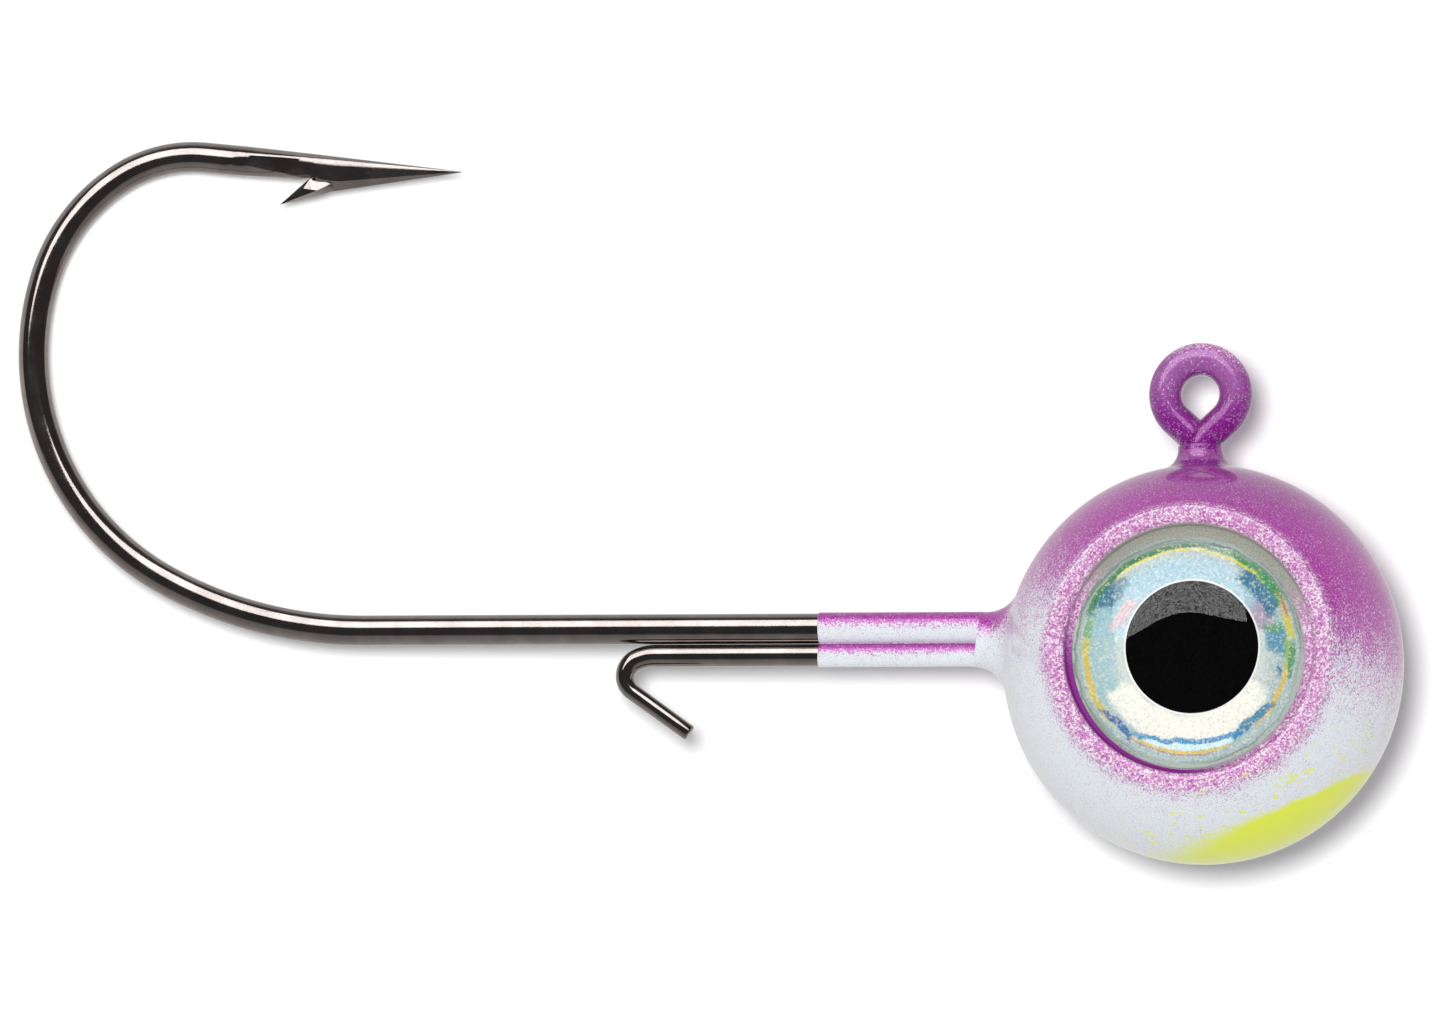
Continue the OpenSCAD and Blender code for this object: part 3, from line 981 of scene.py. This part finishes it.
def recess_wall(f, centre, flat_r, color, grain):
    """The inside of the recess, with painted shade: the unpainted pearl greyed under its top edge, and
    the purple darkened low on the left.
    """
    inside = f.times(f.step(flat_r, RECESS_R + 0.08, RECESS_R + 0.02), near_cheek(f))
    away = f.vector("NORMALIZE", f.vector("MULTIPLY", centre, (1, 0, 1)))
    top = f.step(f.vector("DOT_PRODUCT", away, RECESS_TOP), 0.25, 0.7)
    low = f.step(f.vector("DOT_PRODUCT", away, RECESS_LOW), 0.35, 0.8)
    # Painted shade: the unpainted pearl wall greyed where the top edge shades it
    unpainted_in_shade = f.mix(grain, "8f8f86", "a9a9a0")
    # Painted shade: deep purple low on the left, where the gap lies in shade
    color = f.mix(f.times(inside, low), color, "8a2a8b")
    return f.mix(f.times(inside, top), color, unpainted_in_shade)


def chin_share(f, centre):
    """The chartreuse at the chin: crisp towards the nose, softer behind, with some spatter."""
    x, y, z = f.split(centre)
    mirrored = f.node("CombineXYZ", x, f.times(f.size(y), -1), z).outputs[0]
    depth = f.minus(f.vector("DOT_PRODUCT", mirrored, CHIN), CHIN_EDGE)
    drift = f.step(f.noise(0.9, 2), 0.3, 0.7, -0.04, 0.04)
    softness = f.step(x, 3.0, -1.5, 0.1, 0.6)
    share = f.step(f.math("DIVIDE", f.add(depth, drift), softness), -0.6, 1.0)
    dots = f.times(f.step(f.flakes(SPATTER), 0.93, 0.935), f.step(depth, -1.9, -0.1))
    return f.larger(share, f.times(dots, f.step(f.noise(0.12, 1), 0.42, 0.5)))


def sprayed_paint():
    """Pearl white, sprayed purple from above and chartreuse at the chin, under a clear coat."""
    f = Finish("sprayed_paint")
    centre = f.vector("SUBTRACT", f.place, BALL_MIDDLE)
    flat_r = f.flat_distance(centre)
    facing = f.vector("DOT_PRODUCT", f.normal, SPRAY)
    grain = f.step(f.noise(GRAIN, 1), 0.28, 0.72)
    flake = f.flakes(FLAKE)
    dots = f.add(f.times(grain, 0.5), f.times(flake, 0.5))

    cover, on_flat = purple_cover(f, facing, flat_r)
    share = f.step(f.minus(cover, dots), -0.38, 0.38)
    pearl = f.mix(grain, "cfd5da", "dfe4e8")
    color = f.mix(share, pearl, purple_color(f, facing, flat_r, on_flat, grain, flake))
    color = recess_wall(f, centre, flat_r, color, grain)
    return f.surface(
        base_color=f.mix(chin_share(f, centre), color, "dbe62a"),
        metallic=f.times(share, 0.12),
        roughness=f.step(grain, 0.0, 1.0, 0.35, 0.5),
        specular_ior_level=0.2,
        coat_weight=0.85,
        coat_roughness=0.02,
        normal=f.bump(dots, 0.003, 0.5),
    )


# Bands of colour in the foil: middle angle, half width, radius and half width (both as a
# share of the eye's radius), how far the band's ends bow outwards, colour and strength.
# Angles are in degrees from +X towards +Z.
FOIL_BANDS = [
    (95, 75, 0.66, 0.13, 0, "98c0d4", 0.9),
    (180, 34, 0.74, 0.14, 0, "96bcc2", 0.8),
    (270, 62, 0.64, 0.12, 0, "fff8ec", 0.95),
    (150, 12, 0.63, 0.05, 0, "e0b4bc", 0.9),
    (27, 12, 0.69, 0.08, 0, "a886a4", 0.9),
    (142, 13, 0.81, 0.08, 0, "006080", 1),
    (44, 15, 0.79, 0.07, 0, "006488", 1),
    (8, 12, 0.74, 0.09, 0, "087ca4", 0.9),
    (132, 26, 0.9, 0.028, 0, "0a7018", 1),
    (47, 20, 0.89, 0.04, 0, "00882c", 1),
    (90, 26, 0.9, 0.02, 0, "4c7a3a", 0.9),
    (90, 44, 0.862, 0.011, 0, "dcc800", 1),
    (19, 3, 0.74, 0.08, 0, "4c9c2e", 0.9),
    (168, 10, 0.86, 0.035, 0, "5d9e4c", 0.8),
    (15, 11, 0.872, 0.03, 0, "ccc000", 1),
    (25, 4, 0.89, 0.012, 0, "d0501c", 0.9),
    (357, 9, 0.82, 0.014, 0, "90b800", 1),
    (354, 7, 0.865, 0.03, 0, "2a8436", 0.95),
    (346, 4, 0.77, 0.025, 0, "00689c", 1),
    (334, 17, 0.83, 0.022, 0, "dcb000", 1),
    (198, 24, 0.86, 0.03, 0, "d4b400", 1),
    (314, 13, 0.78, 0.036, 0.05, "0074a0", 1),
    (226, 11, 0.82, 0.03, 0.06, "00589c", 1),
    (270, 36, 0.745, 0.026, 0.06, "0084bc", 1),
    (270, 28, 0.79, 0.024, 0.03, "d8f0f6", 1),
    (265, 28, 0.832, 0.012, 0.01, "e8be00", 1),
    (262, 26, 0.856, 0.006, 0.01, "a8607c", 0.8),
]
FOIL_EDGE = 0.92  # beyond this the foil is painted grey-green: painted shade standing in for the dome's rim
FOIL_SHADE = 0.06  # how much of the light the foil takes in


def foil_band(f, band, angle, radius, grain):
    """How strongly one band shows at each place."""
    middle, half, at, width, bow, _, strength = band
    turned = f.size(f.math("WRAP", f.minus(angle, middle), 180, -180))
    bowed = f.times(f.math("POWER", f.math("DIVIDE", turned, half), 2), bow)
    across = f.step(f.size(f.minus(radius, f.add(bowed, at))), width * 1.25, width * 0.75)
    share = f.times(f.step(turned, half + 4, half - 4), across)
    return f.times(share, f.step(grain, 0.1, 0.9, strength * 0.75, strength))


def holographic_foil():
    """Embossed foil that breaks light into arcs of colour round the eye, over a pale ground."""
    f = Finish("holographic_foil")
    centre = f.vector("SUBTRACT", f.place, (EYE_MIDDLE[0], 0, EYE_MIDDLE[1]))
    x, _, z = f.split(centre)
    grain = f.step(f.noise(0.045, 2), 0.28, 0.72)
    drift = f.noise(0.5, 3)
    radius = f.add(f.flat_distance(centre, EYE_R), f.step(drift, 0.25, 0.75, -0.012, 0.012))
    radius = f.add(radius, f.times(f.minus(f.flakes(0.04), 0.5), 0.012))
    angle = f.times(f.math("ARCTAN2", z, x), 180 / math.pi)
    angle = f.add(angle, f.step(drift, 0.25, 0.75, -6, 6))

    color = f.mix(grain, "90a9ae", "bbc6c6")
    color = f.mix(f.times(f.step(radius, 0.74, 0.6), 0.6), color, "dddeda")
    for band in FOIL_BANDS:
        color = f.mix(foil_band(f, band, angle, radius, grain), color, band[5])
    tint = f.flakes(0.05)
    color = f.mix(f.step(tint, 0.4, 0.0, 0.0, 0.28), color, "4f8f96")
    color = f.mix(f.step(tint, 0.65, 1.0, 0.0, 0.45), color, "e6dcc4")

    # Round streaks of painted grey-green shade under the dome's rim, standing in for what the rim bends
    # and shades, and the white ring that the pupil is printed in
    along = f.node("CombineXYZ", radius, f.times(angle, 0.0004), 0.0).outputs[0]
    streak = f.step(f.noise(0.022, 2, along), 0.35, 0.65)
    rim = f.mix(streak, "68786f", "a6b1a9")
    color = f.mix(f.step(radius, FOIL_EDGE - 0.015, FOIL_EDGE + 0.02, 0.0, 0.9), color, rim)
    printed_r = f.flat_distance(f.vector("SUBTRACT", f.place, PUPIL_MIDDLE))
    color = f.mix(f.step(printed_r, PUPIL_R + 0.06, PUPIL_R + 0.03), color, "f4f4f2")
    return f.surface(
        base_color=f.mix(FOIL_SHADE, color, "000000"),
        metallic=0.15,
        roughness=f.step(grain, 0.0, 1.0, 0.4, 0.55),
        normal=f.bump(grain, 0.003),
    )


def printed_black():
    """Black ink with the faint mottle of a print."""
    f = Finish("printed_black")
    mottle = f.noise(0.05, 2)
    return f.surface(
        base_color=f.mix(f.step(mottle, 0.3, 0.7), "000000", "050505"),
        roughness=f.step(mottle, 0.3, 0.7, 0.6, 0.8),
        specular_ior_level=0.0,
        normal=f.bump(mottle, 0.002),
    )


def clear_resin():
    """The clear dome. The lamp and the room light the foil straight through it."""
    f = Finish("clear_resin")
    ripple = f.noise(0.8, 2)
    resin = f.principled(
        base_color=f.mix(f.step(ripple, 0.3, 0.7), "f6fbf9", "fbfdfc"),
        roughness=0.0,
        ior=1.45,
        transmission_weight=1.0,
        normal=f.bump(ripple, 0.004, 0.5),
    )
    rays = f.node("LightPath").outputs
    straight = f.larger(rays["Is Shadow Ray"], rays["Is Diffuse Ray"])
    f.show(f.blend(straight, resin, f.node("BsdfTransparent")))
    return f.material


def tacky_pad():
    """The off-white adhesive pad under the foil."""
    f = Finish("tacky_pad")
    grain = f.noise(0.1, 2)
    return f.surface(
        base_color=f.mix(f.step(grain, 0.3, 0.7), "c8c9c4", "dcdcd6"),
        roughness=f.step(grain, 0.3, 0.7, 0.5, 0.7),
        normal=f.bump(grain, 0.004),
    )


# ---- Pieces

def build_eye(name, side, pad, foil, ink, resin):
    """The four pieces of one eye, from the adhesive outwards."""
    make_piece(f"{name}_adhesive_pad", *disc_mesh(side, EYE_R, RECESS_FLOOR, FOIL_BACK),
               pad, "eye_adhesive", [f"{name}_eye_adhesive"])
    make_piece(f"{name}_foil_disc", *disc_mesh(side, EYE_R - 0.01, FOIL_BACK, FOIL_FRONT),
               foil, "eye_foil", [f"{name}_eye_foil"])
    printed_at = (PUPIL_MIDDLE.x, PUPIL_MIDDLE.z)
    pupil = disc_mesh(side, PUPIL_R, FOIL_FRONT, FOIL_FRONT + PUPIL_T, printed_at)
    make_piece(f"{name}_pupil_print", *pupil, ink, "eye_pupil", [f"{name}_eye_pupil"])
    make_piece(f"{name}_clear_dome", *dome_mesh(side), resin, "eye_dome", [f"{name}_eye_dome"])


def build_object():
    nickel = black_nickel()
    paint = sprayed_paint()
    lead = frame["nodes"]["lead_head"]
    lead.data.materials.clear()
    lead.data.materials.append(cast_lead())

    make_piece("hook", *hook_mesh(), nickel, "black_nickel_wire", ["jig_hook"], 24)
    make_piece("bait_keeper", *keeper_mesh(), nickel, "black_nickel_wire", ["keeper_wire"], 24)
    make_piece("head_paint", *head_mesh(), paint, "head_paint", ["head_coat"], 60)
    make_piece("collar_paint", *collar_mesh(), paint, "head_paint", ["collar_coat"], 40)
    make_piece("line_eye_paint", *line_eye_mesh(), paint, "head_paint", ["line_eye_coat"], 60)
    eye_finishes = tacky_pad(), holographic_foil(), printed_black(), clear_resin()
    for name, side in SIDES.items():
        build_eye(name, side, *eye_finishes)


# ---- Camera, table and light

AZIMUTH = 7.0
ELEVATION = -7.0
ROLL = 0.6
DISTANCE = 1125  # millimetres from the jig to the camera
FRAME_W = 40.4  # width of the view at the jig
AIM = (-13.37, -3.41)  # middle of the view from the line eye, right and up
SENSOR_W = 36

TABLE_HALF = 400
TABLE_GAP = 0.6  # from the jig's far side to the table
TABLE_COLOR = (0.9, 0.9, 0.9)

KEY_WATTS = 2.9
KEY_DISTANCE = 600
KEY_SIZE = 78
KEY_OFFSET = (-0.05, 0.055)  # right and up of the camera, as a share of the distance
FRONT_LEVEL = 0.45  # the room in front of the jig, for matt surfaces
SIDE_LEVEL = 0.9  # and beside it
# The room for gloss: how bright it is at each angle upwards from the view, in degrees
GLOSS_ROOM = [(-180, 0.8), (-140, 0.75), (-80, 0.45), (-44, 0.33), (-36, 0.07), (70, 0.07),
              (92, 0.12), (110, 0.65), (180, 0.8)]
GLOSS_WARMTH = (1, 0.97, 0.96)
SOFTBOX_DISTANCE = 400
SOFTBOX_TILT = 46
SOFTBOX_CORNERS = [(20, -48), (26, 18), (72, 14), (72, -44)]  # up and sideways, in degrees
SOFTBOX_LEVEL = 3.3
SOFTBOX_WEAVE = 9  # size of the mottle in its cloth
SOFTBOX_UNEVEN = 0.75  # how much darker or brighter than its level that makes it


def view_axes():
    """Right, up and back of the view."""
    a, e, roll = (math.radians(d) for d in (AZIMUTH, ELEVATION, ROLL))
    back = Vector((math.sin(a) * math.cos(e), -math.cos(a) * math.cos(e), math.sin(e)))
    level = Vector((math.cos(a), math.sin(a), 0))
    upright = back.cross(level)
    right = level * math.cos(roll) + upright * math.sin(roll)
    return right, back.cross(right), back


def make_camera():
    right, up, back = view_axes()
    data = bpy.data.cameras.new("camera")
    data.sensor_width = SENSOR_W
    data.lens = SENSOR_W * DISTANCE / FRAME_W
    data.clip_end = 10
    camera = new_object("camera", data)
    place = (right * AIM[0] + up * AIM[1] + back * DISTANCE) * MM
    turned = Matrix((right, up, back)).transposed()
    camera.matrix_world = Matrix.Translation(place) @ turned.to_4x4()
    bpy.context.scene.camera = camera


def card_mesh(name, corners, material):
    """One face between four corners, given in millimetres."""
    mesh = bpy.data.meshes.new(name)
    mesh.from_pydata([corner * MM for corner in corners], [], [(0, 1, 2, 3)])
    mesh.materials.append(material)
    return mesh


def glowing_cloth():
    """The softbox's front, which is a little uneven."""
    f = Finish("softbox")
    level = f.spread(f.noise(SOFTBOX_WEAVE), 0.3, 0.7, SOFTBOX_LEVEL * (1 - SOFTBOX_UNEVEN),
                     SOFTBOX_LEVEL * (1 + SOFTBOX_UNEVEN))
    f.show(f.node("Emission", Strength=level))
    return f.material


def make_softbox():
    """A glowing cloth that faces the middle of the view and only shows in reflections."""
    right, up, back = view_axes()
    middle = right * AIM[0] + up * AIM[1]
    tilt = math.radians(SOFTBOX_TILT)
    facing = back * math.cos(tilt) + up * math.sin(tilt)
    rise = up * math.cos(tilt) - back * math.sin(tilt)
    corners = []
    for up_angle, side_angle in SOFTBOX_CORNERS:
        high = math.tan(math.radians(up_angle - SOFTBOX_TILT))
        side = math.tan(math.radians(side_angle))
        corners.append(middle + (facing + rise * high + right * side) * SOFTBOX_DISTANCE)
    card = new_object("softbox", card_mesh("softbox", corners, glowing_cloth()))
    card.visible_camera = False
    card.visible_diffuse = False
    card.visible_shadow = False
    card.visible_transmission = False


def table_top():
    """Pale and matt in front, and clear from behind, so that the jig can be seen from there."""
    f = Finish("table")
    top = f.node("BsdfDiffuse", TABLE_COLOR)
    behind = f.node("NewGeometry").outputs["Backfacing"]
    f.show(f.blend(behind, top, f.node("BsdfTransparent")))
    return f.material


def make_table():
    """The pale table just behind the jig."""
    right, up, back = view_axes()
    middle = right * AIM[0] - back * (CAD_HIGH.y / MM + TABLE_GAP)
    sides = [(-1, -1), (1, -1), (1, 1), (-1, 1)]
    corners = [middle + right * a * TABLE_HALF + up * b * TABLE_HALF for a, b in sides]
    table = new_object("table", card_mesh("table", corners, table_top()))
    table.visible_glossy = False


def make_key_lamp():
    """A lamp near the camera, for the table and the paint."""
    right, up, back = view_axes()
    data = bpy.data.lights.new("key", "AREA")
    data.shape = "DISK"
    data.size = KEY_SIZE * MM
    data.energy = KEY_WATTS
    lamp = new_object("key", data)
    toward = (back + right * KEY_OFFSET[0] + up * KEY_OFFSET[1]).normalized()
    lamp.location = (right * AIM[0] + up * AIM[1] + toward * KEY_DISTANCE) * MM
    lamp.rotation_mode = "QUATERNION"
    lamp.rotation_quaternion = toward.to_track_quat("Z", "Y")
    lamp.visible_glossy = False
    lamp.visible_camera = False


def make_world():
    """Pale to the camera and to matt surfaces; to gloss, a dark room with pale walls."""
    _, up, back = view_axes()
    world = bpy.data.worlds.new("studio")
    bpy.context.scene.world = world
    world.use_nodes = True
    world.cycles.sampling_method = "NONE"
    f = Nodes(world.node_tree)
    where = f.node("TexCoord").outputs["Generated"]
    forward = f.vector("DOT_PRODUCT", where, back)
    turn = f.math("ARCTAN2", f.vector("DOT_PRODUCT", where, up), forward)
    room = f.node("ValToRGB", f.spread(turn, -math.pi, math.pi, 0.0, 1.0))
    stops = room.color_ramp.elements
    while len(stops) < len(GLOSS_ROOM):
        stops.new(0.5)
    for stop, (angle, level) in zip(stops, GLOSS_ROOM):
        stop.position = (angle + 180) / 360
        stop.color = (*(level * part for part in GLOSS_WARMTH), 1)

    gloss = f.node("Background", Color=room.outputs[0])
    sideways = f.spread(forward, 0.55, 0.35, FRONT_LEVEL, SIDE_LEVEL)
    matt = f.node("Background", Strength=sideways)
    seen = f.node("Background", Color=(1, 1, 1))
    rays = f.node("LightPath").outputs
    unseen = f.blend(rays["Is Diffuse Ray"], gloss, matt)
    f.show(f.blend(rays["Is Camera Ray"], unseen, seen), "OutputWorld")


build_object()
make_camera()
make_table()
make_key_lamp()
make_softbox()
make_world()
bpy.context.scene.view_settings.view_transform = "Standard"
